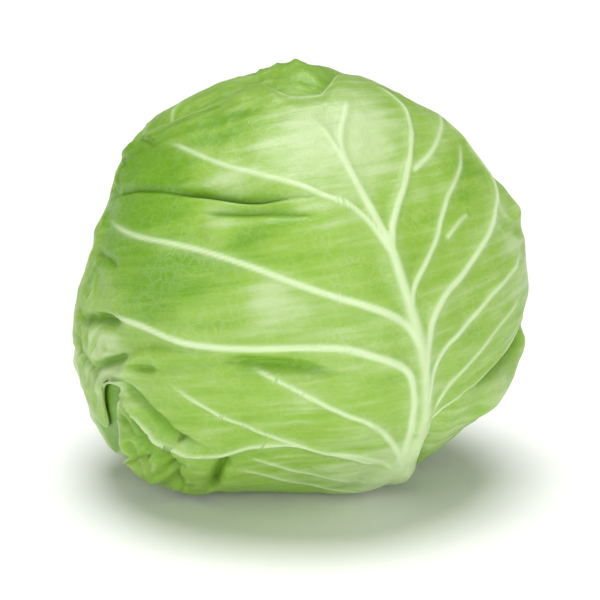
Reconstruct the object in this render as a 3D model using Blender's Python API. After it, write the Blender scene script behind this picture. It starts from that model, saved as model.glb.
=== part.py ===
"""A whole green cabbage head, standing on its cut stem.

The head is a ball of overlapping leaves that grow from a short stem. The four outer leaves are separate
shells. Each one is a cup that clasps the stem at its base, wraps half of the ball and peels away whole.
The firm ball that they wrap is one solid with the stub of the stem, as it grew.

Every leaf is laid out as on a globe round the middle of the head. A place on a leaf is a bearing and an
arc, in degrees, from the leaf's own centre, and its height is a distance from the middle of the head.
The row frame has +Z up, the front at -Y, and its origin at the centre of the stem's cut face.
"""

import math

import bmesh
import bpy
import numpy as np
from mathutils import Vector

# The head as a whole, in metres
HEAD_WIDTH = 0.1725
HEAD_DEPTH = 0.1740
CROWN_RISE = 0.0910  # from the middle of the head up to its crown
FOOT_DROP = 0.0865  # from the middle down to where the underside would reach with no floor
STAND_RISE = 0.0805  # from the floor up to the middle, which presses the underside flat
STEM_OFFSET = 0.012  # the stem stands this far to the right of the middle
SHOULDER_DROP = 0.055  # share by which the shoulders fall in and the lower half swells
FLOOR_SHARPNESS = 40  # the higher this is, the tighter the turn from the side to the flat underside

# Where the ball bulges or falls in: way round from the front, height and spread in degrees, and how far
BULGES = [
    (-90, -38, 28, 0.0070),  # full at the lower left
    (75, -38, 30, -0.0055),  # undercut at the lower right
    (0, -42, 34, -0.0115),
    (180, -42, 34, -0.0060),
    (90, 8, 30, 0.0060),
    (-90, 25, 30, 0.0020),
    (0, 80, 30, -0.0025),
]

# The stem is the end of a cone whose point would be the middle of the head
STEM_ANGLE = 11.5
STEM_LENGTH = 0.026
STEM_SIDES = 40

# The leaves, in metres and in degrees of arc
BLADE_THICKNESS = 0.0010
LEAF_PITCH = 0.0022  # from the outside of one leaf to the outside of the next one in
CLASP_ANGLE = 8.8  # how close the leaf bases come to the stem's centre line
CENTRE_LATITUDE = 5.0
COVER_REACH = 3.0  # a leaf presses the ones inside it this far past its margin
COVER_FADE = 36.0
RIB_CLEAR = 3.0  # ribs and curled margins stay this far from the leaf that covers them
RIB_FADE = 8.0
RIB_HEIGHT = 0.0042
RIB_HALF_WIDTH = 6.0
LEAF_CELLS = 28
BALL_GAP = 0.0006  # between the ball and the innermost of the four leaves

# A leaf's outline: how far its margin is from its centre along each bearing, clockwise from its tip
FRONT_OUTLINE = [
    (0, 80), (45, 82), (90, 80), (107, 72), (140, 56), (172, 86), (198, 52), (216, 62),
    (227, 73), (245, 78), (256, 85), (280, 90), (314, 87), (331, 83),
]  # fmt: skip
BACK_OUTLINE = [(0, 96), (45, 88), (90, 80), (145, 74), (180, 86), (215, 74), (270, 82), (315, 90)]
SIDE_OUTLINE = [(0, 92), (45, 88), (90, 82), (145, 74), (180, 86), (215, 74), (270, 78), (315, 86)]
OUTLINE_SOFTNESS = 7.0  # degrees of bearing over which the outline's corners are rounded

# A midrib's line: how far right of the leaf's centre line it runs, at each height up the leaf
FRONT_MIDRIB = [(-86, 8), (-64, 17), (-24, 25), (5, 19), (31, 10), (57, -1), (80, -9)]
STRAIGHT_MIDRIB = [(-86, 0), (-30, 2), (30, -2), (90, 0)]

# Outermost first: name, way round the head from the front, outline, midrib, curl of the free margin
OUTER_LEAVES = [
    ("front_leaf", 10.0, FRONT_OUTLINE, FRONT_MIDRIB, 0.0010),
    ("back_leaf", 174.5, BACK_OUTLINE, STRAIGHT_MIDRIB, 0.0015),
    ("left_leaf", -66.0, SIDE_OUTLINE, STRAIGHT_MIDRIB, 0.0060),
    ("right_leaf", 92.0, SIDE_OUTLINE, STRAIGHT_MIDRIB, 0.0030),
]

LEAF_GREEN = (0.36, 0.58, 0.11, 1.0)
BALL_GREEN = (0.55, 0.70, 0.27, 1.0)

MIDDLE = np.array([-STEM_OFFSET, 0.0, STAND_RISE])
STEM_DROP = math.hypot(STEM_OFFSET, STAND_RISE)  # from the middle down to the cut face
CROWN_AXIS = MIDDLE / STEM_DROP  # from the stem up through the middle
RIGHT = np.cross([0.0, 1.0, 0.0], CROWN_AXIS)
REAR = np.array([0.0, 1.0, 0.0])


def smooth_step(low, high, value):
    """0 below low, 1 above high, and a smooth rise between them."""
    share = np.clip((value - low) / (high - low), 0.0, 1.0)
    return share * share * (3.0 - 2.0 * share)


def compass_way(around, height):
    """The way that points this far round from the front and this far above the level, in degrees."""
    turn, lift = math.radians(around), math.radians(height)
    return np.array([math.sin(turn) * math.cos(lift), -math.cos(turn) * math.cos(lift), math.sin(lift)])


def free_radius(ways):
    """How far the head's skin is from the middle along each way, with no floor under it."""
    level = np.hypot(ways[:, 0] / (HEAD_WIDTH / 2), ways[:, 1] / (HEAD_DEPTH / 2))
    ball = 1.0 / np.hypot(level, ways[:, 2] / np.where(ways[:, 2] > 0.0, CROWN_RISE, FOOT_DROP))
    latitude = np.arcsin(np.clip(ways[:, 2], -1.0, 1.0))
    skin = ball * (1.0 - SHOULDER_DROP * np.sin(2.0 * latitude))
    for around, height, spread, swell in BULGES:
        apart = np.degrees(np.arccos(np.clip(ways @ compass_way(around, height), -1.0, 1.0)))
        skin = skin + swell * np.exp(-((apart / spread) ** 2))
    return skin


def floor_radius(ways):
    """How far the floor is from the middle along each way, or a very long way above the level."""
    return STAND_RISE / np.maximum(-ways[:, 2], 0.05)


def rested_radius(free, floor):
    """The nearer of the two, blended so that the skin turns on to the floor and never goes through it."""
    return (free**-FLOOR_SHARPNESS + floor**-FLOOR_SHARPNESS) ** (-1.0 / FLOOR_SHARPNESS)


class Leaf:
    """One leaf's place on the globe of the head, with its outline and its midrib."""

    def __init__(self, name, around, outline, midrib, curl):
        self.name = name
        self.curl = curl
        turn = math.radians(around)
        outward = math.sin(turn) * RIGHT - math.cos(turn) * REAR
        lift = math.radians(CENTRE_LATITUDE)
        self.centre = math.cos(lift) * outward + math.sin(lift) * CROWN_AXIS
        self.tipward = math.cos(lift) * CROWN_AXIS - math.sin(lift) * outward
        self.rightward = np.cross(CROWN_AXIS, outward)
        bearings, reaches = zip(*outline)
        self.bearings = np.arange(-180.0, 180.0, 1.0)
        corners = np.interp(self.bearings, bearings, reaches, period=360.0)
        window = np.exp(-0.5 * (self.bearings / OUTLINE_SOFTNESS) ** 2)
        window /= window.sum()
        spread = np.fft.ifft(np.fft.fft(corners) * np.fft.fft(np.fft.ifftshift(window)))
        self.reaches = spread.real
        self.slants = np.gradient(self.reaches) / np.sin(np.radians(self.reaches))
        self.rib_heights, self.rib_sides = zip(*midrib)

    def reach(self, bearing):
        return np.interp(bearing, self.bearings, self.reaches, period=360.0)

    def way_at(self, rightward, tipward):
        """The way from the middle to a place on the leaf, given in degrees of arc from its centre."""
        arc = np.radians(np.hypot(rightward, tipward))
        bearing = np.arctan2(rightward, tipward)
        ways = (
            np.cos(arc)[:, None] * self.centre
            + (np.sin(arc) * np.cos(bearing))[:, None] * self.tipward
            + (np.sin(arc) * np.sin(bearing))[:, None] * self.rightward
        )
        return clasped(ways)

    def place_of(self, ways):
        """The opposite of way_at: (rightward, tipward) in degrees."""
        ways = unclasped(ways)
        arc = np.degrees(np.arccos(np.clip(ways @ self.centre, -1.0, 1.0)))
        bearing = np.arctan2(ways @ self.rightward, ways @ self.tipward)
        return arc * np.sin(bearing), arc * np.cos(bearing)

    def inside_margin(self, ways):
        """How far inside the leaf's margin each way is, in degrees, and negative outside it."""
        rightward, tipward = self.place_of(ways)
        bearing = np.degrees(np.arctan2(rightward, tipward))
        slant = np.interp(bearing, self.bearings, self.slants, period=360.0)
        return (self.reach(bearing) - np.hypot(rightward, tipward)) / np.hypot(1.0, slant)

    def rib(self, rightward, tipward):
        """How far the midrib stands out, broad and high at the base and fading to the tip."""
        line = np.interp(tipward, self.rib_heights, self.rib_sides)
        taper = 1.0 - smooth_step(-75.0, 70.0, tipward)
        width = RIB_HALF_WIDTH * (0.35 + 0.9 * taper)
        return RIB_HEIGHT * taper * np.exp(-(((rightward - line) / width) ** 2))


def opened(ways, change):
    """Moves each way nearer to or further from the stem's line, by a rule for its angle from the stem."""
    along = np.clip(-(ways @ CROWN_AXIS), -1.0, 1.0)
    angle = np.degrees(np.arccos(along))
    sideways = ways + along[:, None] * CROWN_AXIS
    sideways /= np.maximum(np.linalg.norm(sideways, axis=1), 1e-9)[:, None]
    new = np.radians(change(angle))
    return np.sin(new)[:, None] * sideways - np.cos(new)[:, None] * CROWN_AXIS


def clasped(ways):
    """Spreads the ways near the stem round it, so that a leaf's base clasps the stem."""
    return opened(ways, lambda angle: np.hypot(angle, CLASP_ANGLE))


def unclasped(ways):
    return opened(ways, lambda angle: np.sqrt(np.maximum(angle**2 - CLASP_ANGLE**2, 0.0)))


def pressed_depth(covers, ways):
    """How far the leaves outside a leaf press it in."""
    depth = np.zeros(len(ways))
    for cover in covers:
        inside = cover.inside_margin(ways)
        depth += LEAF_PITCH * smooth_step(-COVER_REACH - COVER_FADE, -COVER_REACH, inside)
    return depth


def exposure(covers, ways):
    """1 where no leaf lies over this one, and 0 where one does."""
    shown = np.ones(len(ways))
    for cover in covers:
        shown *= smooth_step(RIB_CLEAR, RIB_CLEAR + RIB_FADE, -cover.inside_margin(ways))
    return shown


def skin_points(covers, ways, raised, sunk):
    """Points on a skin: pressed in by the covers, raised from the ball, or sunk under it by a thickness."""
    depth = pressed_depth(covers, ways) + sunk
    radius = rested_radius(free_radius(ways) + raised - depth, floor_radius(ways) - depth)
    return MIDDLE + radius[:, None] * ways


def disc_from_square(across, up):
    """Turns a square sheet's places into a round sheet's, with no pole and no crowded rows."""
    return across * np.sqrt(1.0 - up**2 / 2.0), up * np.sqrt(1.0 - across**2 / 2.0)


def material(name, colour, roughness):
    made = bpy.data.materials.new(name)
    made.use_nodes = True
    shader = made.node_tree.nodes["Principled BSDF"]
    shader.inputs["Base Color"].default_value = colour
    shader.inputs["Roughness"].default_value = roughness
    shader.inputs["Metallic"].default_value = 0.0
    return made


def add_object(name, bm, finish):
    """Makes the node's object from a bmesh, smooth shaded, with its faces pointing out."""
    bmesh.ops.recalc_face_normals(bm, faces=bm.faces)
    mesh = bpy.data.meshes.new(name)
    bm.to_mesh(mesh)
    bm.free()
    mesh.shade_smooth()
    mesh.materials.append(finish)
    made = bpy.data.objects.new(name, mesh)
    bpy.context.scene.collection.objects.link(made)
    return made


def build_leaf(leaf, covers, finish):
    """A square slab, one cell thick, bent into the leaf: its lower side is the inside of the leaf."""
    bm = bmesh.new()
    bmesh.ops.create_grid(bm, x_segments=LEAF_CELLS, y_segments=LEAF_CELLS, size=1.0)
    slab = bmesh.ops.extrude_face_region(bm, geom=list(bm.faces))
    outside = [item for item in slab["geom"] if isinstance(item, bmesh.types.BMVert)]
    bmesh.ops.translate(bm, verts=outside, vec=(0.0, 0.0, 1.0))

    flat = np.array([vert.co for vert in bm.verts])
    across, up = disc_from_square(flat[:, 0], flat[:, 1])
    bearing = np.degrees(np.arctan2(across, up))
    arc = np.hypot(across, up) * leaf.reach(bearing)
    rightward = arc * np.sin(np.radians(bearing))
    tipward = arc * np.cos(np.radians(bearing))
    ways = leaf.way_at(rightward, tipward)

    shown = exposure(covers, ways)
    curl = leaf.curl * smooth_step(0.75, 1.0, np.hypot(across, up)) * shown
    raised = leaf.rib(rightward, tipward) * shown * (flat[:, 2] > 0.5) + curl
    sunk = BLADE_THICKNESS * (flat[:, 2] < 0.5)
    for vert, point in zip(bm.verts, skin_points(covers, ways, raised, sunk)):
        vert.co = point
    return add_object(leaf.name, bm, finish)


def build_head(covers, finish):
    """The ball inside the outer leaves, with the stub of the stem, which is cut level at the floor."""
    bm = bmesh.new()
    bmesh.ops.create_icosphere(bm, subdivisions=5, radius=1.0)
    ways = np.array([vert.co.normalized() for vert in bm.verts])
    for vert, point in zip(bm.verts, skin_points(covers, ways, 0.0, BALL_GAP)):
        vert.co = point
    head = add_object("head", bm, finish)

    below = 0.012
    slope = math.tan(math.radians(STEM_ANGLE))
    bm = bmesh.new()
    bmesh.ops.create_cone(
        bm,
        cap_ends=True,
        segments=STEM_SIDES,
        radius1=(STEM_DROP + below) * slope,
        radius2=(STEM_DROP - STEM_LENGTH) * slope,
        depth=STEM_LENGTH + below,
    )
    bmesh.ops.translate(bm, verts=bm.verts, vec=(0.0, 0.0, (STEM_LENGTH - below) / 2))
    lean = Vector((0.0, 0.0, 1.0)).rotation_difference(Vector(CROWN_AXIS)).to_matrix()
    bmesh.ops.rotate(bm, verts=bm.verts, matrix=lean)
    cut = bmesh.ops.bisect_plane(
        bm,
        geom=list(bm.verts) + list(bm.edges) + list(bm.faces),
        plane_co=(0.0, 0.0, 0.0),
        plane_no=(0.0, 0.0, -1.0),
        clear_outer=True,
    )
    rim = [item for item in cut["geom_cut"] if isinstance(item, bmesh.types.BMEdge)]
    bmesh.ops.holes_fill(bm, edges=rim, sides=0)
    stub = add_object("stem_stub", bm, finish)
    stub.hide_render = True
    stub.display_type = "WIRE"

    grown_together = head.modifiers.new("stem", "BOOLEAN")
    grown_together.operation = "UNION"
    grown_together.solver = "EXACT"
    grown_together.object = stub
    return head


def main():
    for old in list(bpy.data.objects):
        bpy.data.objects.remove(old)
    leaf_finish = material("outer_leaf", LEAF_GREEN, 0.42)
    leaves = [Leaf(*facts) for facts in OUTER_LEAVES]
    for place, leaf in enumerate(leaves):
        build_leaf(leaf, leaves[:place], leaf_finish)
    build_head(leaves, material("head", BALL_GREEN, 0.45))


main()
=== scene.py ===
"""A whole green cabbage head standing on its cut stem: its leaves, veins and finish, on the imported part."""

import math

import bmesh
import bpy
import numpy as np
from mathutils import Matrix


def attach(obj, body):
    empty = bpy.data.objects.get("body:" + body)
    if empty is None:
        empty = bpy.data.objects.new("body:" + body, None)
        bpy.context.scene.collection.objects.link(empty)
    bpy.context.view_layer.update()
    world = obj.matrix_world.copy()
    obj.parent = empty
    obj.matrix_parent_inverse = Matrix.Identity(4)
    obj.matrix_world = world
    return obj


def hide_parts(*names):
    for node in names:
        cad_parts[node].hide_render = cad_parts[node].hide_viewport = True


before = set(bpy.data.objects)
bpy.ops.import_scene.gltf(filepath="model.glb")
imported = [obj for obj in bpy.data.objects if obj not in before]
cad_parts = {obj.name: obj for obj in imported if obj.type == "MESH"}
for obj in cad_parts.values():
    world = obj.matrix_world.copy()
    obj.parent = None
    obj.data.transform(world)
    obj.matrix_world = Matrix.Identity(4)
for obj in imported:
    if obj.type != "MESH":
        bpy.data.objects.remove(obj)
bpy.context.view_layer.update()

# ---------------------------------------------------------------------------------------------------
# The front leaf: the outermost of the four leaves that wrap the heart, a waxy sheet about a
# millimetre thick that clasps the stem at its base. Like every leaf it lies pressed to the form of
# the head, and it is laid out on a plan in degrees: so far right of its centre, so far tipward.
# ---------------------------------------------------------------------------------------------------
STEM_OFFSET = 0.012  # the stem stands this far to the right of the middle of the head
STAND_RISE = 0.0805  # from the floor up to the middle
HALF_WIDTH, HALF_DEPTH = 0.08625, 0.0870
CROWN_RISE, FOOT_DROP = 0.0910, 0.0865
SHOULDER_DROP = 0.055
FLOOR_SHARPNESS = 40
MIDDLE = np.array([-STEM_OFFSET, 0.0, STAND_RISE])
CROWN_AXIS = MIDDLE / np.linalg.norm(MIDDLE)
REAR = np.array([0.0, 1.0, 0.0])
RIGHT = np.cross(REAR, CROWN_AXIS)
MEAN_RADIUS_MM = 86.0
MM_PER_DEGREE = 1.5  # of arc on the skin of the head
CLASP = 8.8  # degrees round the middle of the stem that the leaf bases leave free

# Where the head bulges or falls in: way round from the front, height and spread in degrees, how far
BULGES = [
    (-90, -38, 28, 0.0070),
    (75, -38, 30, -0.0055),
    (0, -42, 34, -0.0115),
    (180, -42, 34, -0.0060),
    (90, 8, 30, 0.0060),
    (-90, 25, 30, 0.0020),
    (0, 80, 30, -0.0025),
    (-90, -35, 11, 0.0035),
    (-90, 40, 17, 0.0033),
    (-90, 20, 12, -0.0075),
    (90, 50, 14, 0.0030),
    (90, 22, 10, 0.0025),
]


def smooth_step(low, high, value):
    share = np.clip((value - low) / (high - low), 0.0, 1.0)
    return share * share * (3.0 - 2.0 * share)


def compass_way(around, height):
    turn, lift = math.radians(around), math.radians(height)
    return np.array([math.sin(turn) * math.cos(lift), -math.cos(turn) * math.cos(lift), math.sin(lift)])


def degrees_apart(ways, way):
    return np.degrees(np.arccos(np.clip(ways @ way, -1.0, 1.0)))


def free_radius(ways):
    """How far the skin of the head is from its middle along each way, with no floor under it."""
    level = np.hypot(ways[:, 0] / HALF_WIDTH, ways[:, 1] / HALF_DEPTH)
    ball = 1.0 / np.hypot(level, ways[:, 2] / np.where(ways[:, 2] > 0.0, CROWN_RISE, FOOT_DROP))
    latitude = np.arcsin(np.clip(ways[:, 2], -1.0, 1.0))
    skin = ball * (1.0 - SHOULDER_DROP * np.sin(2.0 * latitude))
    for around, height, spread, swell in BULGES:
        skin = skin + swell * np.exp(-((degrees_apart(ways, compass_way(around, height)) / spread) ** 2))
    return skin


def skin_points(ways, outward, sunk):
    """Points on a skin that stands outward from the free form, and is sunk under all of it."""
    free = free_radius(ways) + outward - sunk
    off_stem = smooth_step(20.0, 34.0, degrees_apart(ways, -CROWN_AXIS))
    lifted = 0.0011 * (1.0 + undulation(ways, 3, 46.0)) * off_stem
    floor = STAND_RISE / np.maximum(-ways[:, 2], 0.05) - sunk - np.maximum(lifted, 0.0)
    radius = (free**-FLOOR_SHARPNESS + floor**-FLOOR_SHARPNESS) ** (-1.0 / FLOOR_SHARPNESS)
    return MIDDLE + radius[:, None] * ways


def undulation(ways, seed, wavelength, count=24):
    """A smooth random swell with no direction, about 1 high, with waves this long in millimetres."""
    dice = np.random.default_rng(seed)
    runs = dice.normal(size=(count, 3))
    runs *= (dice.uniform(0.75, 1.35, count) / np.linalg.norm(runs, axis=1))[:, None]
    waves = 2.0 * math.pi * MEAN_RADIUS_MM / wavelength
    turns = ways @ runs.T * waves + dice.uniform(0, 2 * math.pi, count)
    return np.sin(turns).sum(axis=1) / math.sqrt(count / 2.0)


def crumple(ways, seed, wavelength):
    """Sharp ridges with rounded hollows between them, from about -1 to 1."""
    return 1.0 - 1.6 * np.minimum(np.abs(undulation(ways, seed, wavelength)), 1.25)


def fine_line(points, rounds=3):
    """Rounds the corners of a line by cutting them, and keeps its two ends."""
    line = np.array(points, float)
    for _ in range(rounds):
        near = 0.75 * line[:-1] + 0.25 * line[1:]
        far = 0.25 * line[:-1] + 0.75 * line[1:]
        inner = np.stack([near, far], axis=1).reshape(-1, line.shape[1])
        line = np.vstack([line[:1], inner, line[-1:]])
    return line


def along_line(ways, line):
    """Millimetres to the left (+) or right (-) of a line of ways, and the share of it passed."""
    starts, ends = line[:-1], line[1:]
    runs = ends - starts
    lengths = np.linalg.norm(runs, axis=1)
    passed = np.concatenate([[0.0], np.cumsum(lengths)])
    best = np.full(len(ways), 1e9)
    side = np.zeros(len(ways))
    share = np.zeros(len(ways))
    for start, run, length, before in zip(starts, runs, lengths, passed):
        if length < 1e-7:
            continue
        away = ways - start
        part = np.clip(away @ run / length**2, 0.0, 1.0)
        gap = away - part[:, None] * run
        apart = np.einsum("ij,ij->i", gap, gap)
        nearer = apart < best
        best = np.where(nearer, apart, best)
        side = np.where(nearer, away @ np.cross(start, run), side)
        share = np.where(nearer, (before + part * length) / passed[-1], share)
    return np.sqrt(best) * MEAN_RADIUS_MM * np.where(side >= 0.0, 1.0, -1.0), share


def clasped(ways, clasp=CLASP):
    """Spreads the ways near the stem round it, so that a leaf base clasps the stem."""
    along = np.clip(-(ways @ CROWN_AXIS), -1.0, 1.0)
    angle = np.degrees(np.arccos(along))
    sideways = ways + along[:, None] * CROWN_AXIS
    sideways /= np.maximum(np.linalg.norm(sideways, axis=1), 1e-9)[:, None]
    new = np.radians(np.sqrt(np.maximum(angle**2 + np.sign(clasp) * clasp**2, 0.0)))
    return np.sin(new)[:, None] * sideways - np.cos(new)[:, None] * CROWN_AXIS


def socket(group, name, kind, way, value=None):
    made = group.interface.new_socket(name=name, in_out=way, socket_type=kind)
    if value is not None:
        made.default_value = value


def chain(tree, kind, inputs=(), **settings):
    """Adds a node, sets it up and plugs it in: an input is a value or another node's output."""
    node = tree.nodes.new(kind)
    for name, value in settings.items():
        setattr(node, name, value)
    for name, value in dict(inputs).items():
        if isinstance(value, bpy.types.NodeSocket):
            tree.links.new(value, node.inputs[name])
        else:
            node.inputs[name].default_value = value
    return node


def ramp_between(tree, value, low, high, out_low=0.0, out_high=1.0):
    """A smooth rise of a value from one level to another."""
    node = chain(
        tree,
        "ShaderNodeMapRange",
        {"Value": value, "From Min": low, "From Max": high, "To Min": out_low, "To Max": out_high},
        interpolation_type="SMOOTHSTEP",
    )
    return node.outputs["Result"]


def maths(tree, operation, first, second=0.0):
    node = chain(tree, "ShaderNodeMath", {0: first, 1: second}, operation=operation)
    return node.outputs["Value"]


def mixed(tree, amount, first, second, blend="MIX"):
    node = chain(
        tree, "ShaderNodeMix", {0: amount, 6: first, 7: second}, data_type="RGBA", blend_type=blend
    )
    return node.outputs[2]


def leaf_tissue_group():
    """Colour, roughness and height of cabbage leaf: vein cores and their pale margins, the fine net
    of veinlets between them, the deep and the waxy patches with painted highlights and painted shade among
    them, painted shade in the creases, and faint streaks along the leaf."""
    tree = bpy.data.node_groups.new("leaf_tissue", "ShaderNodeTree")
    for name, value in (
        ("Blade", (0.30, 0.52, 0.09, 1.0)),
        ("Deep", (0.16, 0.36, 0.03, 1.0)),
        ("Pale", (0.62, 0.78, 0.35, 1.0)),
        ("Vein", (0.68, 0.85, 0.42, 1.0)),
    ):
        socket(tree, name, "NodeSocketColor", "INPUT", value)
    socket(tree, "Plan", "NodeSocketVector", "INPUT")
    for name, value in (
        ("Vein Core", 0.0),
        ("Vein Glow", 0.0),
        ("Tone", 0.0),
        ("Painted Shade", 0.0),
        ("Net Size", 0.34),
        ("Net Strength", 0.10),
    ):
        socket(tree, name, "NodeSocketFloat", "INPUT", value)
    socket(tree, "Colour", "NodeSocketColor", "OUTPUT")
    socket(tree, "Roughness", "NodeSocketFloat", "OUTPUT")
    socket(tree, "Height", "NodeSocketFloat", "OUTPUT")
    enter = tree.nodes.new("NodeGroupInput").outputs
    leave = tree.nodes.new("NodeGroupOutput").inputs

    wander = chain(tree, "ShaderNodeTexNoise", {"Vector": enter["Plan"], "Scale": 0.16, "Detail": 3.0})
    shift = chain(
        tree, "ShaderNodeVectorMath", {0: wander.outputs["Color"], 1: (0.5, 0.5, 0.5)}, operation="SUBTRACT"
    )
    shift = chain(
        tree, "ShaderNodeVectorMath", {0: shift.outputs[0], "Scale": 5.0}, operation="SCALE"
    )
    bent = chain(tree, "ShaderNodeVectorMath", {0: enter["Plan"], 1: shift.outputs[0]}, operation="ADD")
    big_net = chain(
        tree,
        "ShaderNodeTexVoronoi",
        {"Vector": bent.outputs[0], "Scale": enter["Net Size"], "Randomness": 0.95},
        feature="DISTANCE_TO_EDGE",
    )
    small_net = chain(
        tree,
        "ShaderNodeTexVoronoi",
        {"Vector": bent.outputs[0], "Scale": maths(tree, "MULTIPLY", enter["Net Size"], 3.1)},
        feature="DISTANCE_TO_EDGE",
    )
    big_lines = ramp_between(tree, big_net.outputs["Distance"], 0.0, 0.16, 1.0, 0.0)
    small_lines = ramp_between(tree, small_net.outputs["Distance"], 0.0, 0.2, 1.0, 0.0)
    both = maths(tree, "ADD", big_lines, maths(tree, "MULTIPLY", small_lines, 0.4))
    faded = chain(tree, "ShaderNodeTexNoise", {"Vector": enter["Plan"], "Scale": 0.07, "Detail": 2.0})
    shown = ramp_between(tree, faded.outputs["Fac"], 0.36, 0.66, 0.25, 1.0)
    core = ramp_between(tree, enter["Vein Core"], 0.12, 0.95)
    both = maths(tree, "MULTIPLY", both, maths(tree, "SUBTRACT", 1.0, core))
    net = maths(tree, "MULTIPLY", maths(tree, "MULTIPLY", both, shown), enter["Net Strength"])

    stretched = chain(
        tree, "ShaderNodeMapping", {"Vector": enter["Plan"], "Scale": (0.035, 0.30, 1.0)}
    )
    streaks = chain(
        tree, "ShaderNodeTexNoise", {"Vector": stretched.outputs[0], "Scale": 1.0, "Detail": 5.0}
    )
    patches = chain(tree, "ShaderNodeTexNoise", {"Vector": enter["Plan"], "Scale": 0.055, "Detail": 4.0})
    drift = maths(tree, "ADD", maths(tree, "MULTIPLY", streaks.outputs["Fac"], 1.8), -0.90)
    drift = maths(tree, "ADD", drift, maths(tree, "MULTIPLY", patches.outputs["Fac"], 1.4))
    tone = maths(tree, "ADD", maths(tree, "ADD", enter["Tone"], drift), -0.66)

    colour = mixed(tree, ramp_between(tree, tone, 0.15, -0.85), enter["Blade"], enter["Deep"])
    colour = mixed(tree, ramp_between(tree, tone, 0.0, 1.0), colour, enter["Pale"])
    colour = mixed(tree, maths(tree, "MULTIPLY", enter["Vein Glow"], 0.26), colour, enter["Pale"])
    colour = mixed(tree, net, colour, enter["Vein"])
    colour = mixed(tree, core, colour, enter["Vein"])
    # Painted shade: the creases, slits and pockets of the folds are darkened towards the deep green.
    colour = mixed(tree, enter["Painted Shade"], colour, enter["Deep"])
    tree.links.new(colour, leave["Colour"])

    grain = chain(tree, "ShaderNodeTexNoise", {"Vector": enter["Plan"], "Scale": 1.6, "Detail": 4.0})
    rough = maths(tree, "MULTIPLY", patches.outputs["Fac"], 0.20)
    rough = maths(tree, "ADD", rough, maths(tree, "MULTIPLY", grain.outputs["Fac"], 0.08))
    tree.links.new(maths(tree, "ADD", rough, 0.27), leave["Roughness"])
    height = maths(tree, "MULTIPLY", both, 0.03)
    height = maths(tree, "ADD", height, maths(tree, "MULTIPLY", grain.outputs["Fac"], 0.15))
    height = maths(tree, "ADD", height, maths(tree, "MULTIPLY", streaks.outputs["Fac"], 0.6))
    height = maths(tree, "ADD", height, maths(tree, "MULTIPLY", patches.outputs["Fac"], 1.5))
    tree.links.new(height, leave["Height"])
    return tree


leaf_tissue = leaf_tissue_group()


def leaf_finish(name, blade, deep, pale, vein):
    """Fresh waxy leaf: a soft sheen over green that lets a little light through."""
    made = bpy.data.materials.new(name)
    made.use_nodes = True
    tree = made.node_tree
    plan = chain(tree, "ShaderNodeAttribute", attribute_name="plan")
    tissue = chain(tree, "ShaderNodeGroup", node_tree=leaf_tissue)
    tree.links.new(plan.outputs["Vector"], tissue.inputs["Plan"])
    for part, colour in (("Blade", blade), ("Deep", deep), ("Pale", pale), ("Vein", vein)):
        tissue.inputs[part].default_value = (*colour, 1.0)
    for attribute, part in (
        ("vein_core", "Vein Core"),
        ("vein_glow", "Vein Glow"),
        ("tone", "Tone"),
        ("hollow", "Painted Shade"),
    ):
        read = chain(tree, "ShaderNodeAttribute", attribute_name=attribute)
        tree.links.new(read.outputs["Fac"], tissue.inputs[part])
    shader = tree.nodes["Principled BSDF"]
    shader.inputs["Metallic"].default_value = 0.0
    shader.inputs["IOR"].default_value = 1.42
    shader.inputs["Subsurface Weight"].default_value = 0.12
    shader.inputs["Subsurface Radius"].default_value = (0.8, 1.0, 0.3)
    shader.inputs["Subsurface Scale"].default_value = 0.002
    tree.links.new(tissue.outputs["Colour"], shader.inputs["Base Color"])
    tree.links.new(tissue.outputs["Roughness"], shader.inputs["Roughness"])
    bump = chain(
        tree, "ShaderNodeBump", {"Height": tissue.outputs["Height"], "Strength": 0.6, "Distance": 0.0016}
    )
    tree.links.new(bump.outputs["Normal"], shader.inputs["Normal"])
    return made


def keep_values(mesh, **layers):
    """Stores values, or places, for the points of a mesh under these names, for its material to read."""
    for name, values in layers.items():
        kind, field = ("FLOAT", "value") if values.ndim == 1 else ("FLOAT_VECTOR", "vector")
        layer = mesh.attributes.new(name, kind, "POINT")
        layer.data.foreach_set(field, values.astype(np.float32).ravel())


def finish_piece(name, mesh, finish, slot, *nodes):
    mesh.shade_smooth()
    mesh.materials.append(finish)
    piece = bpy.data.objects.new(name, mesh)
    bpy.context.scene.collection.objects.link(piece)
    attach(piece, "root")
    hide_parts(*nodes)
    return piece


BLADE_THICKNESS = 0.0010
LEAF_PITCH = 0.0022  # from one leaf to the next one in
CENTRE_LATITUDE = 5.0  # of the middle of a leaf's plan, in degrees
COVER_REACH, COVER_FADE = 1.6, 12.0  # degrees past its margin that a leaf presses, and then eases off
HOLLOW_FADE = 8.0  # degrees over which the hollows in a leaf stop pressing the one below
HUG, HUG_DEPTH = 0.0008, 7.0  # how far a margin is pressed down, and over how many degrees


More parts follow.
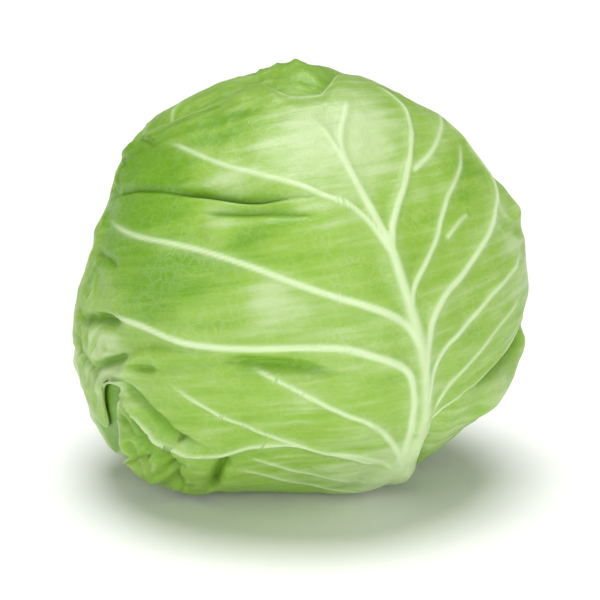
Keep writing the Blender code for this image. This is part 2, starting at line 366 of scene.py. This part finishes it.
class Leaf:
    """The plan of one leaf: where it sits, its outline, its veins and its folds."""

    def __init__(self, around, outline, softness, veins, folds, swell, seed, crumples=(), hangs=()):
        turn, lift = math.radians(around), math.radians(CENTRE_LATITUDE)
        outward = math.sin(turn) * RIGHT - math.cos(turn) * REAR
        self.centre = math.cos(lift) * outward + math.sin(lift) * CROWN_AXIS
        self.tipward = math.cos(lift) * CROWN_AXIS - math.sin(lift) * outward
        self.rightward = np.cross(CROWN_AXIS, outward)
        bearings, reaches = zip(*sorted(outline))
        self.bearings = np.arange(-180.0, 180.0, 0.5)
        corners = np.interp(self.bearings, bearings, reaches, period=360.0)
        window = np.exp(-0.5 * (self.bearings / softness) ** 2)
        spread = np.fft.ifft(np.fft.fft(corners) * np.fft.fft(np.fft.ifftshift(window / window.sum())))
        self.reaches = spread.real
        self.veins = [(self.line_of(vein[0]), *vein[1:]) for vein in veins]
        self.folds = [(self.line_of(fold[0]), *fold[1:]) for fold in folds]
        self.swell = swell
        self.seed = seed
        self.crumples = crumples
        self.hangs = hangs

    def way_at(self, rightward, tipward):
        arc = np.radians(np.hypot(rightward, tipward))
        bearing = np.arctan2(rightward, tipward)
        ways = (
            np.cos(arc)[:, None] * self.centre
            + (np.sin(arc) * np.cos(bearing))[:, None] * self.tipward
            + (np.sin(arc) * np.sin(bearing))[:, None] * self.rightward
        )
        return clasped(ways)

    def line_of(self, points):
        line = fine_line(points)
        return self.way_at(line[:, 0], line[:, 1])

    def reach(self, bearing):
        return np.interp(bearing, self.bearings, self.reaches, period=360.0)

    def place_of(self, ways):
        """The opposite of way_at: degrees right of the centre and tipward of it."""
        ways = clasped(ways, -CLASP)
        arc = degrees_apart(ways, self.centre)
        bearing = np.arctan2(ways @ self.rightward, ways @ self.tipward)
        return arc * np.sin(bearing), arc * np.cos(bearing)

    def inside_margin(self, ways):
        """Degrees inside the margin, and negative outside it."""
        rightward, tipward = self.place_of(ways)
        bearing = np.degrees(np.arctan2(rightward, tipward))
        inside = self.reach(bearing) - np.hypot(rightward, tipward)
        for right, tip, spread in self.hangs:
            inside = np.maximum(inside, spread - np.hypot(rightward - right, tipward - tip))
        return inside

    def veined(self, ways):
        """How far the veins stand out, how strongly they show, and the pale glow beside them."""
        raised = np.zeros(len(ways))
        core = np.zeros(len(ways))
        glow = np.zeros(len(ways))
        for line, root_width, end_width, root_height, end_height in self.veins:
            aside, share = along_line(ways, line)
            width = root_width + (end_width - root_width) * share
            height = root_height + (end_height - root_height) * share
            fade = smooth_step(-0.01, 0.05, share) * (1.0 - smooth_step(0.85, 1.0, share))
            drawn = np.maximum(width, 1.3)
            cord = np.exp(-((aside / drawn) ** 2)) * fade
            raised = np.maximum(raised, height * np.exp(-((aside / (1.55 * drawn)) ** 2)) * fade)
            softened = 1.0 - 0.35 * smooth_step(1.8, 4.0, width)
            core = np.maximum(core, cord * (width / drawn) ** 0.7 * softened)
            glow = np.maximum(glow, fade * np.exp(-((aside / (2.6 * width)) ** 2)))
        return raised * 0.001, core, glow

    def folded(self, ways):
        """How far the folds lift the blade or let it in, and how much shade is painted along them."""
        moved = np.zeros(len(ways))
        hollow = np.zeros(len(ways))
        for line, amount, left_width, right_width, shade in self.folds:
            aside, share = along_line(ways, line)
            ends = smooth_step(0.0, 0.22, share) * smooth_step(0.0, 0.30, 1.0 - share)
            width = np.where(aside > 0.0, left_width, right_width) * (0.4 + 0.6 * ends)
            near = ends * np.exp(-((aside / width) ** 2))
            moved += amount * near
            hollow = np.maximum(hollow, shade * near)
        return moved * 0.001, hollow

    def swollen(self, ways):
        """The broad swells of the blade, and the crumpled patches in it."""
        broad = 0.75 * undulation(ways, self.seed, 70.0) + 0.30 * undulation(ways, self.seed + 1, 28.0)
        broad = self.swell * (broad + 0.14 * undulation(ways, self.seed + 2, 13.0))
        rightward, tipward = self.place_of(ways)
        crumpled = np.zeros(len(ways))
        for right, tip, spread, amount, wavelength in self.crumples:
            near = np.exp(-((np.hypot(rightward - right, tipward - tip) / spread) ** 2))
            if near.max() > 0.01:
                crumpled += amount * near * crumple(ways, self.seed + 20, wavelength)
        return (broad + crumpled) * 0.001, crumpled

    def relief(self, ways):
        return self.veined(ways)[0] + self.folded(ways)[0] + self.swollen(ways)[0]


def pressed_in(ways, covers, reach):
    """How far a skin is pressed in by the leaves over it, and by the hollows in those leaves."""
    sunk = np.zeros(len(ways))
    for cover in covers:
        inside = cover.inside_margin(ways)
        sunk += LEAF_PITCH * smooth_step(-COVER_REACH - COVER_FADE, -COVER_REACH, inside)
        over = inside > -reach - HOLLOW_FADE
        pressed = np.zeros(len(ways))
        if over.any():
            pressed[over] = np.maximum(-cover.relief(ways[over]), 0.0)
        sunk += pressed * smooth_step(-reach - HOLLOW_FADE, -reach, inside)
    return sunk


def grow_leaf(name, leaf, covers, cells, finish, frill, tones_and_painted_light=(), droops=(), flares=()):
    """Bends a flat sheet into the leaf, presses it under the leaves over it and gives it its thickness."""
    bm = bmesh.new()
    bmesh.ops.create_grid(bm, x_segments=cells, y_segments=cells, size=1.0)
    flat = np.array([vert.co for vert in bm.verts])
    across = flat[:, 0] * np.sqrt(1.0 - flat[:, 1] ** 2 / 2.0)
    up = flat[:, 1] * np.sqrt(1.0 - flat[:, 0] ** 2 / 2.0)
    bearing = np.arctan2(across, up)
    share = np.hypot(across, up)
    reach = leaf.reach(np.degrees(bearing))
    arc = share * reach
    plan = np.stack([arc * np.sin(bearing), arc * np.cos(bearing), np.zeros(len(arc))], axis=1)
    around = np.degrees(bearing) % 360.0
    turned = np.zeros(len(arc))
    for first, last, low, high, turn in droops:
        window = smooth_step(first - 2.0, first + 4.0, around)
        window *= smooth_step(-last - 12.0, -last + 12.0, -around)
        turned += turn * window * smooth_step(low, high, arc)
    flared = np.zeros(len(arc))
    for first, last, depth, height in flares:
        window = smooth_step(first - 3.0, first + 3.0, around)
        window *= smooth_step(-last - 3.0, -last + 3.0, -around)
        flared += height * window * smooth_step(depth, 0.0, (1.0 - share) * reach) ** 1.5
    bearing = bearing + np.radians(turned)
    rightward, tipward = arc * np.sin(bearing), arc * np.cos(bearing)
    ways = leaf.way_at(rightward, tipward)

    sunk = pressed_in(ways, covers, COVER_REACH)
    shown = np.ones(len(ways))
    for cover in covers:
        shown *= 1.0 - smooth_step(-COVER_REACH - 5.0, -COVER_REACH, cover.inside_margin(ways))

    raised, core, glow = leaf.veined(ways)
    moved, hollow = leaf.folded(ways)
    margin = (1.0 - share) * reach
    ripple = undulation(ways, leaf.seed + 7, 22.0) + 0.8 * undulation(ways, leaf.seed + 8, 11.0)
    frilled = frill * 0.001 * (0.6 + 0.5 * ripple) * smooth_step(10.0, 0.0, margin)
    swollen, crumpled = leaf.swollen(ways)
    hug = smooth_step(HUG_DEPTH, 0.0, margin) * (flared == 0.0)
    loose = frilled + swollen
    loose *= np.where(loose > 0.0, 1.0 - 0.7 * hug, 1.0)
    outward = shown * (raised + moved + loose + flared * 0.001) - HUG * hug
    points = skin_points(ways, outward, sunk)
    points[:, 2] = np.maximum(points[:, 2], BLADE_THICKNESS + 0.0002)
    for vert, point in zip(bm.verts, points):
        vert.co = point

    # Paler on the crumple ridges and deeper in their hollows: painted light and painted shade.
    tone = 0.30 * crumpled + 0.9 * np.exp(-((margin * MM_PER_DEGREE / 1.1) ** 2))
    # The listed spots include painted highlights and painted shade.
    for right, tip, spread, amount in tones_and_painted_light:
        tone += amount * np.exp(-((np.hypot(rightward - right, tipward - tip) / spread) ** 2))
    mesh = bpy.data.meshes.new(name)
    bm.to_mesh(mesh)
    bm.free()
    # Painted shade along the creases, slits and pockets of the folds, where no leaf lies over them.
    shade = np.clip(hollow * shown, 0.0, 1.0)
    keep_values(mesh, plan=plan, vein_core=core, vein_glow=glow, tone=tone, hollow=shade)
    piece = finish_piece(name + "_sheet", mesh, finish, "outer_leaf", name)
    wall = piece.modifiers.new("blade_thickness", "SOLIDIFY")
    wall.thickness = BLADE_THICKNESS
    wall.offset = -1.0


# The front leaf wraps the whole front. Its midrib leans to the right at the stem and crosses to the
# left at the crown, its side veins sweep round both sides, and its left margin is crumpled and torn.
front_veins = [
    # line from root to end in degrees, half width at both ends and height at both ends in mm
    ([(19, -84), (19, -70), (18, -58), (21, -40), (22, -27), (21, -11), (19, 15), (16, 29), (13, 43),
      (9, 56), (6, 64)], 4.6, 1.0, 3.6, 0.6),
    ([(13, -92), (10, -78), (11, -68), (15, -58), (19, -46), (22, -34)], 10.0, 3.2, 3.2, 1.0),
    ([(19, 13), (17, 19), (14, 26), (10, 31), (4, 34), (-1, 38), (-15, 45), (-24, 50),
      (-43, 65)], 1.5, 0.6, 1.2, 0.4),
    ([(21, -14), (20, -7), (17, -2), (10, 3), (-2, 9), (-14, 16), (-19, 19), (-35, 27), (-56, 33),
      (-72, 44)], 1.8, 0.7, 1.5, 0.5),
    ([(14, -56), (17.5, -42), (18, -30), (18, -22), (17, -16), (13, -12), (6, -8), (0, -5), (-17, -3),
      (-39, 0), (-56, 7), (-74, 10)], 1.9, 1.2, 1.7, 1.2),
    ([(17, -56), (14, -43), (7, -30), (-2, -24), (-8, -19), (-19, -10), (-23, -7),
      (-27, -3)], 1.6, 0.8, 1.4, 0.6),
    ([(15, -56), (7, -47), (-8, -41), (-19, -35), (-27, -28.5), (-38, -19), (-46, -12),
      (-50, -8)], 1.4, 0.7, 1.2, 0.5),
    ([(12, -54), (-5, -42), (-14, -38), (-26, -36), (-34, -38.7), (-41, -40), (-49, -36.5), (-57, -29.4),
      (-61, -24), (-68, -16.5)], 1.4, 0.8, 1.5, 0.8),
    ([(8, -66), (-5, -59), (-20, -51), (-29, -42), (-32, -40)], 1.3, 0.6, 1.0, 0.3),
    ([(6, -74), (-5, -69), (-20, -59), (-30, -50), (-37, -46)], 1.3, 0.6, 1.0, 0.3),
    ([(14, 40), (13, 44), (14, 51), (20, 60), (21, 64)], 1.3, 0.7, 0.9, 0.5),
    ([(18, 14), (20, 21), (24, 27), (30, 34), (35, 42), (40, 51), (41, 57), (39, 65),
      (34, 74)], 1.7, 0.8, 1.5, 0.5),
    ([(33, 36), (44, 41), (54, 49), (60, 57)], 1.1, 0.6, 0.7, 0.4),
    ([(20, -1), (22, 5), (29, 11), (34, 16), (38, 22), (43, 27), (54, 35), (62, 45)], 1.4, 0.6, 1.0, 0.4),
    ([(37, 15), (44, 19), (49, 20)], 0.9, 0.5, 0.5, 0.3),
    ([(21, -24), (22, -14), (25, -5), (30, 0), (41, 5), (46, 8), (58, 15), (68, 25), (70, 33), (65, 43),
      (55, 60)], 1.8, 0.9, 1.6, 0.8),
    ([(22, -30), (24, -20), (28, -13), (34, -11), (45, -6), (50, -4), (59, -2),
      (72, 4)], 1.3, 0.7, 1.0, 0.5),
    ([(21, -44), (23, -35), (30, -25), (40, -19), (52, -14), (66, -9)], 1.0, 0.5, 0.7, 0.3),
    ([(20, -52), (22.5, -43), (25, -37), (32, -32.5), (44, -28.5), (60, -25),
      (70, -20)], 1.1, 0.8, 1.0, 0.8),
]
front_folds = [
    # line, height or depth in mm, half width on its left and on its right in mm, and how much shade is
    # painted along it
    ([(-72, 50), (-58, 49.3), (-45, 46.5), (-36, 44), (-26, 41), (-14, 37), (-2, 35),
      (8, 34)], -2.8, 1.3, 1.5, 1.0),
    ([(-40, 45), (-26, 41), (-14, 37), (-2, 35)], -2.2, 3.6, 1.6, 0.35),
    ([(-33, 36.5), (-24, 35), (-14, 33), (-3, 30), (4, 28)], -2.2, 1.2, 1.4, 1.0),
    ([(-27, 36.5), (-14, 34), (-3, 31)], -1.2, 3.0, 1.5, 0.3),
    ([(-33, 33), (-26, 29), (-14, 29), (-5, 27)], 1.6, 3.5, 4.5, 0.0),
    ([(-30, -4), (-20, -6.5), (-12, -8.5), (-3, -11.5), (1, -13)], -3.0, 2.2, 2.6, 0.9),
    ([(-85, -23), (-73, -16.5), (-64, -10.7), (-59, -6), (-56, -3.4), (-49, -2.2), (-32, -2.8),
      (-24, -3)], 2.2, 1.6, 2.6, 0.0),
    ([(-67, -11), (-62.3, -17), (-58.5, -21), (-53.5, -26), (-50, -31), (-45, -34),
      (-38.5, -37.5)], -3.4, 3.6, 1.5, 0.9),
    ([(-68.6, -16), (-64.3, -19.8), (-60.3, -24.6), (-57, -29.3), (-53.5, -32.8), (-49, -36.5),
      (-41, -40)], 2.0, 1.3, 1.3, 0.0),
    ([(-71, -15.5), (-66.6, -19.6), (-62, -26), (-58, -31.5), (-54, -36), (-52.5, -42),
      (-51.5, -52)], -3.2, 1.0, 2.4, 1.0),
    ([(-62, -8), (-59.6, -7.6), (-55, -7.6), (-51, -7.2), (-48, -7)], -1.8, 1.1, 1.3, 0.8),
    ([(-50, -8), (-44.6, -5.6), (-37, -5.3), (-29.8, -4.9)], -0.9, 1.4, 2.5, 0.25),
    ([(-54, -33), (-54, -43), (-52, -57), (-50, -64)], -2.6, 1.8, 2.4, 0.55),
    ([(-64, -22), (-60, -33), (-59, -45), (-60, -58)], 1.8, 3.0, 3.0, 0.0),
    ([(-35, -40), (-39, -45), (-42, -53), (-45, -64)], -5.0, 2.6, 1.6, 0.8),
    ([(-88, 4), (-78, 6), (-68, 7.3), (-58, 6)], -4.6, 1.5, 2.6, 1.0),
    ([(-80, -12), (-71, -8.5), (-65, -6.2), (-58, -3)], -3.4, 1.3, 1.9, 1.0),
    ([(-84, 14), (-78, 8), (-76, 0), (-79, -10), (-77, -20)], 1.5, 2.0, 1.6, 0.0),
    ([(-90, 12), (-84, 0), (-85, -12), (-83, -24)], -1.6, 1.5, 1.5, 0.5),
    ([(-90, 2), (-88, -6), (-80, -12), (-73, -15)], -2.2, 1.2, 1.8, 0.6),
    ([(-78, 48), (-70, 41), (-74, 36), (-86, 22)], 1.8, 1.8, 2.6, 0.0),
    ([(-60, 74), (-51, 69), (-44, 61)], -2.0, 1.2, 1.8, 0.7),
    ([(24, -34), (32, -31), (44, -27), (60, -23)], 1.2, 1.8, 1.6, 0.0),
    ([(10, -48), (7, -56), (4, -65), (1, -76)], -1.0, 4.0, 4.0, 0.1),
    ([(-78, 30), (-66, 27), (-60, 22)], -1.6, 1.4, 2.0, 0.6),
    ([(-76, 58), (-66, 55), (-58, 56)], -1.8, 1.3, 1.8, 0.8),
    ([(-70, 64), (-63, 62), (-54, 64), (-48, 62)], -1.5, 1.3, 1.6, 0.7),
    ([(-68, 70), (-61, 67), (-50, 70)], 1.5, 1.4, 1.6, 0.0),
    ([(-56, -38), (-63, -30), (-70, -27)], -2.0, 1.3, 1.6, 0.7),
    ([(-47, -44), (-54, -47), (-60, -52)], -2.0, 1.3, 1.6, 0.7),
]
front_outline = [
    (0, 73), (3, 69.4), (6, 68.8), (12, 69), (15.5, 75), (18, 82), (24, 86), (45, 86), (70, 84), (90, 82),
    (100, 78), (106, 71), (112, 65), (122, 53), (135, 46), (146, 44.5), (153, 50), (156, 58), (161, 72),
    (168, 84),
    (182, 86), (198, 86), (210, 86), (213.5, 86), (214.8, 74), (216, 81), (218, 84), (219.5, 81), (221, 86),
    (222.5, 80), (224, 83), (225.3, 89), (226.5, 86), (227.6, 80), (229.5, 86), (231.5, 83), (233, 86),
    (235.2, 88),
    (236.4, 79), (238.5, 76), (241, 78), (243, 75.5), (247, 76.5), (251, 73), (254, 69), (256.5, 67),
    (258.5, 73),
    (260, 85),
    (263, 91), (267, 92), (271, 96), (280, 98), (300, 98), (314, 96), (322, 93),
    (331, 84), (340, 79.6), (349, 79.3), (354.5, 81.5), (357.5, 78.7),
]
# The pale spots at (-22, 44), (-26, 31) and (-30, 38), on the bulges by the creases, are painted highlights.
front_tones_and_painted_highlights = [
    # right, tip and spread in degrees, and how pale (+) or deep (-)
    (2, 50, 16, 0.75), (22, 52, 15, 0.70), (16, 34, 10, 0.35), (-22, 44, 7, 0.40), (-26, 31, 7, 0.55),
    (-16, 10, 7, 0.75), (-30, 38, 6, 0.35), (-5, 6, 7, 0.35), (-54, 58, 17, -0.90), (-42, 40, 12, -0.60),
    (-26, 66, 13, -0.60), (-8, 68, 9, -0.3),
    (-62, 30, 13, -0.60), (-42, 20, 14, -0.65), (-20, 22, 9, -0.45), (-55, 8, 14, -0.35),
    (50, 22, 12, 0.05), (57, 35, 8, -0.55),
    (44, 4, 12, 0.15), (20, -58, 18, 0.65), (8, -60, 14, 0.55), (-10, -52, 12, 0.25), (-8, -14, 10, 0.20),
    (-60, -34, 12, -0.20), (-72, 52, 14, -0.50), (-10, 2, 8, 0.10), (20, -30, 9, 0.30),
    (-4, -34, 14, 0.25), (-72, -6, 14, 0.80), (72, -5, 12, 0.45), (66, 12, 10, 0.45), (48, 50, 14, 0.45),
    (-45, -20, 15, 0.12),
]
front_crumples = [
    # right, tip and spread in degrees, height in mm and length of the ridges in mm
    (-84, -8, 13, 1.1, 13), (-80, 20, 12, 0.7, 13), (-66, 60, 12, 0.9, 11), (-60, -42, 13, 1.1, 11),
    (72, 12, 12, 0.8, 15), (-20, 74, 12, 0.4, 12),
]
front_hangs = [(-75, -27, 11)]  # right, tip and spread in degrees: the torn flap, over the leaf below
front_plan = Leaf(10.0, front_outline, 0.7, front_veins, front_folds, 0.9, 11, front_crumples, front_hangs)
front_green = leaf_finish(
    "front_leaf_green", (0.235, 0.41, 0.045), (0.13, 0.30, 0.008), (0.42, 0.55, 0.25), (0.54, 0.67, 0.38)
)
front_cells = 220
grow_leaf(
    "front_leaf", front_plan, [], front_cells, front_green, 0.6, front_tones_and_painted_highlights,
    droops=[(256.0, 288.0, 70.0, 88.0, -17.0)], flares=[(215.0, 244.0, 14.0, 3.6)],
)


# ---------------------------------------------------------------------------------------------------
# The back leaf: a waxy sheet like the front one, clasped round the stem. It wraps the rear of the
# head and reaches over the crown, where its tip shows in front.
# ---------------------------------------------------------------------------------------------------
FIRST_ROOT, ROOT_PITCH, VEIN_PAIRS = -62.0, 16.0, 8


def side_veins(seed, left_out=(), root_out=0.0):
    """Pairs of veins that leave the midrib in turn, climb, and bend tipward towards the margin."""
    dice = np.random.default_rng(seed)
    found = []
    for turn in range(VEIN_PAIRS):
        for hand in (-1.0, 1.0):
            root = FIRST_ROOT + ROOT_PITCH * (turn + 0.45 * (hand > 0)) + dice.uniform(-3.0, 3.0)
            climb = dice.uniform(0.45, 0.75)
            length = 84.0 - 5.0 * turn
            steps = np.linspace(0.0, 1.0, 6)
            out = root_out + hand * length * steps**0.95
            tip = root + climb * length * steps ** 1.25 + dice.uniform(-2.0, 2.0, 6) * steps
            if hand < 0.0 and turn in left_out:
                continue
            width = 1.7 - 0.12 * turn
            found.append((list(zip(out, tip)), width, 0.5, 0.9 * width, 0.3))
    return found


plain_midrib = ([(0, -84), (0, -60), (2, -20), (0, 20), (-2, 60), (-1, 88)], 4.6, 0.8, 3.6, 0.5)
back_outline = [
    (0, 106), (20, 102), (45, 93), (90, 82), (145, 76), (180, 86), (215, 76), (270, 84), (315, 95),
    (340, 104),
]
back_folds = [
    ([(6, 77), (-4, 79.5), (-12, 80.5), (-18, 80)], 2.2, 2.5, 2.5, 0.0),
    ([(2, 86), (-6, 88), (-14, 90), (-24, 88)], -1.6, 2.5, 2.0, 0.4),
    ([(30, 40), (22, 52), (20, 66)], -1.8, 2.0, 3.0, 0.5),
    ([(-38, 20), (-48, 34), (-50, 50)], -2.2, 2.2, 3.2, 0.5),
    ([(40, -8), (54, -2), (66, 6)], -1.8, 1.8, 3.0, 0.5),
]
back_crumples = [(0, 84, 16, 0.8, 13), (60, 60, 18, 0.8, 16), (-64, 50, 18, 0.8, 16),
(70, -20, 14, 0.8, 15), (-72, -10, 14, 0.8, 15)]
back_plan = Leaf(174.5, back_outline, 3.0, [plain_midrib] + side_veins(5), back_folds, 1.3, 31, back_crumples)
outer_green = leaf_finish(
    "outer_leaf_green", (0.21, 0.39, 0.035), (0.12, 0.29, 0.008), (0.41, 0.56, 0.20), (0.53, 0.67, 0.35)
)
other_cells = 205
grow_leaf("back_leaf", back_plan, [front_plan], other_cells, outer_green, 2.2)

# ---------------------------------------------------------------------------------------------------
# The left leaf: a waxy sheet under the front and back ones, clasped round the stem. It shows in the
# gap over the torn flap of the front leaf.
# ---------------------------------------------------------------------------------------------------
side_outline = [(0, 92), (45, 88), (90, 84), (145, 76), (180, 86), (215, 76), (270, 80), (315, 86)]
left_midrib = ([(-4, -84), (-13, -60), (-19, -20), (-18, 20), (-12, 60), (-4, 88)], 4.6, 0.8, 3.6, 0.5)
left_veins = [left_midrib] + side_veins(8, root_out=-18.0)
left_plan = Leaf(-66.0, side_outline, 4.0, left_veins, [], 1.2, 51, [(-10, 0, 60, 0.5, 17)])
# Where the left leaf shows in the gap over the torn flap it is painted a deep green: painted shade.
gap_right, gap_tip = left_plan.place_of(front_plan.way_at(np.array([-74.0]), np.array([-30.0])))
left_gap_shade = [(float(gap_right[0]), float(gap_tip[0]), 20, -1.6)]
grow_leaf(
    "left_leaf", left_plan, [front_plan, back_plan], other_cells, outer_green, 2.0, left_gap_shade
)

# ---------------------------------------------------------------------------------------------------
# The right leaf: the innermost of the four waxy sheets, clasped round the stem. It shows under the
# lower right margin of the front leaf, where its own margin cups out.
# ---------------------------------------------------------------------------------------------------
right_folds = [
    ([(2, -24), (-8, -28), (-18, -30), (-28, -31), (-36, -34)], -5.0, 3.0, 4.0, 0.9),
    ([(6, -8), (4, -20), (0, -31), (-10, -38), (-24, -42), (-34, -48)], 5.5, 9.0, 7.0, 0.0),
    ([(10, -34), (2, -43), (-12, -49), (-26, -52)], 1.6, 2.0, 2.0, 0.0),
]
right_veins = [plain_midrib] + side_veins(13, left_out=(0, 1, 2))
right_plan = Leaf(92.0, side_outline, 4.0, right_veins, right_folds, 1.0, 71, [(10, 10, 40, 0.5, 17)])
right_tones = [(-12, -42, 22, 0.35), (-36, -52, 16, 0.5)]
grow_leaf(
    "right_leaf", right_plan, [front_plan, back_plan, left_plan], other_cells, outer_green, 2.0, right_tones
)

# ---------------------------------------------------------------------------------------------------
# The heart: the firm pale ball of inner leaves that the outer ones wrap. It grows out of the stem, and
# shows only between the leaf bases on the underside.
# ---------------------------------------------------------------------------------------------------
HEART_GAP = 0.0010  # between the heart and the innermost leaf
HEART_REACH = 3.0
PLAN_SCALE = 57.3  # degrees in a radian, so that the tissue is as fine as on the leaves
bm = bmesh.new()
bmesh.ops.create_icosphere(bm, subdivisions=6, radius=1.0)
ways = np.array([vert.co.normalized() for vert in bm.verts])
sunk = HEART_GAP + pressed_in(ways, (front_plan, back_plan, left_plan, right_plan), HEART_REACH)
points = skin_points(ways, 0.0, sunk)
for vert, point in zip(bm.verts, points):
    vert.co = point
mesh = bpy.data.meshes.new("heart")
bm.to_mesh(mesh)
bm.free()
tone = 0.9 * np.exp(-((degrees_apart(ways, -CROWN_AXIS) / 40.0) ** 2))
plain = np.zeros(len(ways))
keep_values(mesh, plan=ways * PLAN_SCALE, vein_core=plain, vein_glow=plain, tone=tone, hollow=plain)
heart_green = leaf_finish(
    "heart_green", (0.42, 0.62, 0.17), (0.30, 0.50, 0.09), (0.66, 0.80, 0.44), (0.70, 0.84, 0.48)
)
finish_piece("heart", mesh, heart_green, "head", "head")

# ---------------------------------------------------------------------------------------------------
# The cut stem: the woody stub that every leaf grows from. It is cut level with the floor, so its cut
# face shows a moist pale pith inside a greener rind.
# ---------------------------------------------------------------------------------------------------
STEM_SLOPE = math.tan(math.radians(11.5))
STEM_DROP = float(np.linalg.norm(MIDDLE))
STUB_HEIGHT = 0.02
stem_radius = STEM_DROP * STEM_SLOPE
bm = bmesh.new()
bmesh.ops.create_cone(
    bm, cap_ends=True, segments=96, radius1=stem_radius, radius2=(STEM_DROP - STUB_HEIGHT) * STEM_SLOPE,
    depth=STUB_HEIGHT,
)
bmesh.ops.translate(bm, verts=bm.verts, vec=(0.0, 0.0, STUB_HEIGHT / 2.0))
rim = [edge for edge in bm.edges if all(vert.co.z < 0.001 for vert in edge.verts)]
bmesh.ops.bevel(
    bm, geom=rim, offset=0.0012, segments=3, affect="EDGES", profile=0.5, material=-1, clamp_overlap=True
)
base = [face for face in bm.faces if all(vert.co.z < 0.0001 for vert in face.verts)]
for _ in range(4):
    bmesh.ops.inset_region(bm, faces=base, thickness=stem_radius * 0.2, depth=0.0)
for vert in bm.verts:
    lean = vert.co.z / STEM_DROP
    vert.co.x -= STEM_OFFSET * lean
mesh = bpy.data.meshes.new("cut_stem")
bm.to_mesh(mesh)
bm.free()
stem_finish = bpy.data.materials.new("cut_stem_pith")
stem_finish.use_nodes = True
tree = stem_finish.node_tree
place = chain(tree, "ShaderNodeTexCoord")
grain = chain(tree, "ShaderNodeTexNoise", {"Vector": place.outputs["Object"], "Scale": 260.0, "Detail": 5.0})
wander = chain(tree, "ShaderNodeTexNoise", {"Vector": place.outputs["Object"], "Scale": 60.0, "Detail": 3.0})
span = chain(tree, "ShaderNodeVectorMath", {0: place.outputs["Object"]}, operation="LENGTH")
ring = maths(tree, "ADD", span.outputs["Value"], maths(tree, "MULTIPLY", wander.outputs["Fac"], 0.003))
rind = ramp_between(tree, ring, 0.0125, 0.0165)
woody_out = ramp_between(tree, ring, 0.0085, 0.0105)
woody = maths(tree, "MULTIPLY", woody_out, ramp_between(tree, ring, 0.0105, 0.0135, 1.0, 0.0))
colour = mixed(tree, grain.outputs["Fac"], (0.62, 0.66, 0.40, 1.0), (0.74, 0.77, 0.52, 1.0))
colour = mixed(tree, maths(tree, "MULTIPLY", woody, 0.6), colour, (0.50, 0.52, 0.26, 1.0))
colour = mixed(tree, rind, colour, (0.42, 0.58, 0.20, 1.0))
shader = tree.nodes["Principled BSDF"]
tree.links.new(colour, shader.inputs["Base Color"])
tree.links.new(ramp_between(tree, grain.outputs["Fac"], 0.3, 0.7, 0.35, 0.6), shader.inputs["Roughness"])
bump = chain(tree, "ShaderNodeBump", {"Height": grain.outputs["Fac"], "Strength": 0.4, "Distance": 0.0005})
tree.links.new(bump.outputs["Normal"], shader.inputs["Normal"])
finish_piece("cut_stem", mesh, stem_finish, "head", "head")

# ---------------------------------------------------------------------------------------------------
# The studio: a plain white floor, a wide soft light from overhead, a low soft fill on the front left
# and one on the front right, and a dim even sky.
# ---------------------------------------------------------------------------------------------------
bm = bmesh.new()
bmesh.ops.create_grid(bm, x_segments=2, y_segments=2, size=4.0)
floor_mesh = bpy.data.meshes.new("floor")
bm.to_mesh(floor_mesh)
bm.free()
floor_white = bpy.data.materials.new("floor_white")
floor_white.use_nodes = True
floor_shader = floor_white.node_tree.nodes["Principled BSDF"]
floor_shader.inputs["Base Color"].default_value = (0.93, 0.93, 0.93, 1.0)
floor_shader.inputs["Roughness"].default_value = 0.7
floor_mesh.materials.append(floor_white)
floor = bpy.data.objects.new("floor", floor_mesh)
bpy.context.scene.collection.objects.link(floor)

sky = bpy.data.worlds.new("studio_sky")
sky.use_nodes = True
sky.node_tree.nodes["Background"].inputs["Color"].default_value = (1.0, 1.0, 1.0, 1.0)
sky.node_tree.nodes["Background"].inputs["Strength"].default_value = 0.25
bpy.context.scene.world = sky


def soft_light(name, place, aim, size, power):
    lamp = bpy.data.lights.new(name, "AREA")
    lamp.shape = "DISK"
    lamp.size = size
    lamp.energy = power
    made = bpy.data.objects.new(name, lamp)
    made.location = place
    way = np.array(aim) - np.array(place)
    flat = math.hypot(way[0], way[1])
    made.rotation_euler = (math.atan2(flat, -way[2]), 0.0, math.atan2(-way[0], way[1]))
    bpy.context.scene.collection.objects.link(made)


overhead = bpy.data.lights.new("overhead_light", "SUN")
overhead.energy = 2.8
overhead.angle = math.radians(40.0)
overhead_lamp = bpy.data.objects.new("overhead_light", overhead)
overhead_lamp.rotation_euler = (math.radians(-4.0), math.radians(-1.0), 0.0)
bpy.context.scene.collection.objects.link(overhead_lamp)
soft_light("left_fill", (-1.20, -0.90, 0.25), (-0.04, 0.0, 0.07), 0.8, 7.5)
soft_light("right_fill", (0.65, -1.40, 0.25), (0.02, 0.0, 0.06), 1.0, 15.0)
bpy.context.scene.view_settings.view_transform = "Standard"

# ---------------------------------------------------------------------------------------------------
# The camera: a long lens straight in front of the head, looking a little down on it.
# ---------------------------------------------------------------------------------------------------
camera_data = bpy.data.cameras.new("camera")
camera_data.angle = math.radians(11.83)
camera = bpy.data.objects.new("camera", camera_data)
look_down = math.radians(18.0)
stand_off = 1.150
camera.location = (
    -0.012,
    -0.0032 - stand_off * math.cos(look_down),
    0.0750 + stand_off * math.sin(look_down),
)
camera.rotation_euler = (math.radians(90.0) - look_down, 0.0, 0.0)
bpy.context.scene.collection.objects.link(camera)
bpy.context.scene.camera = camera
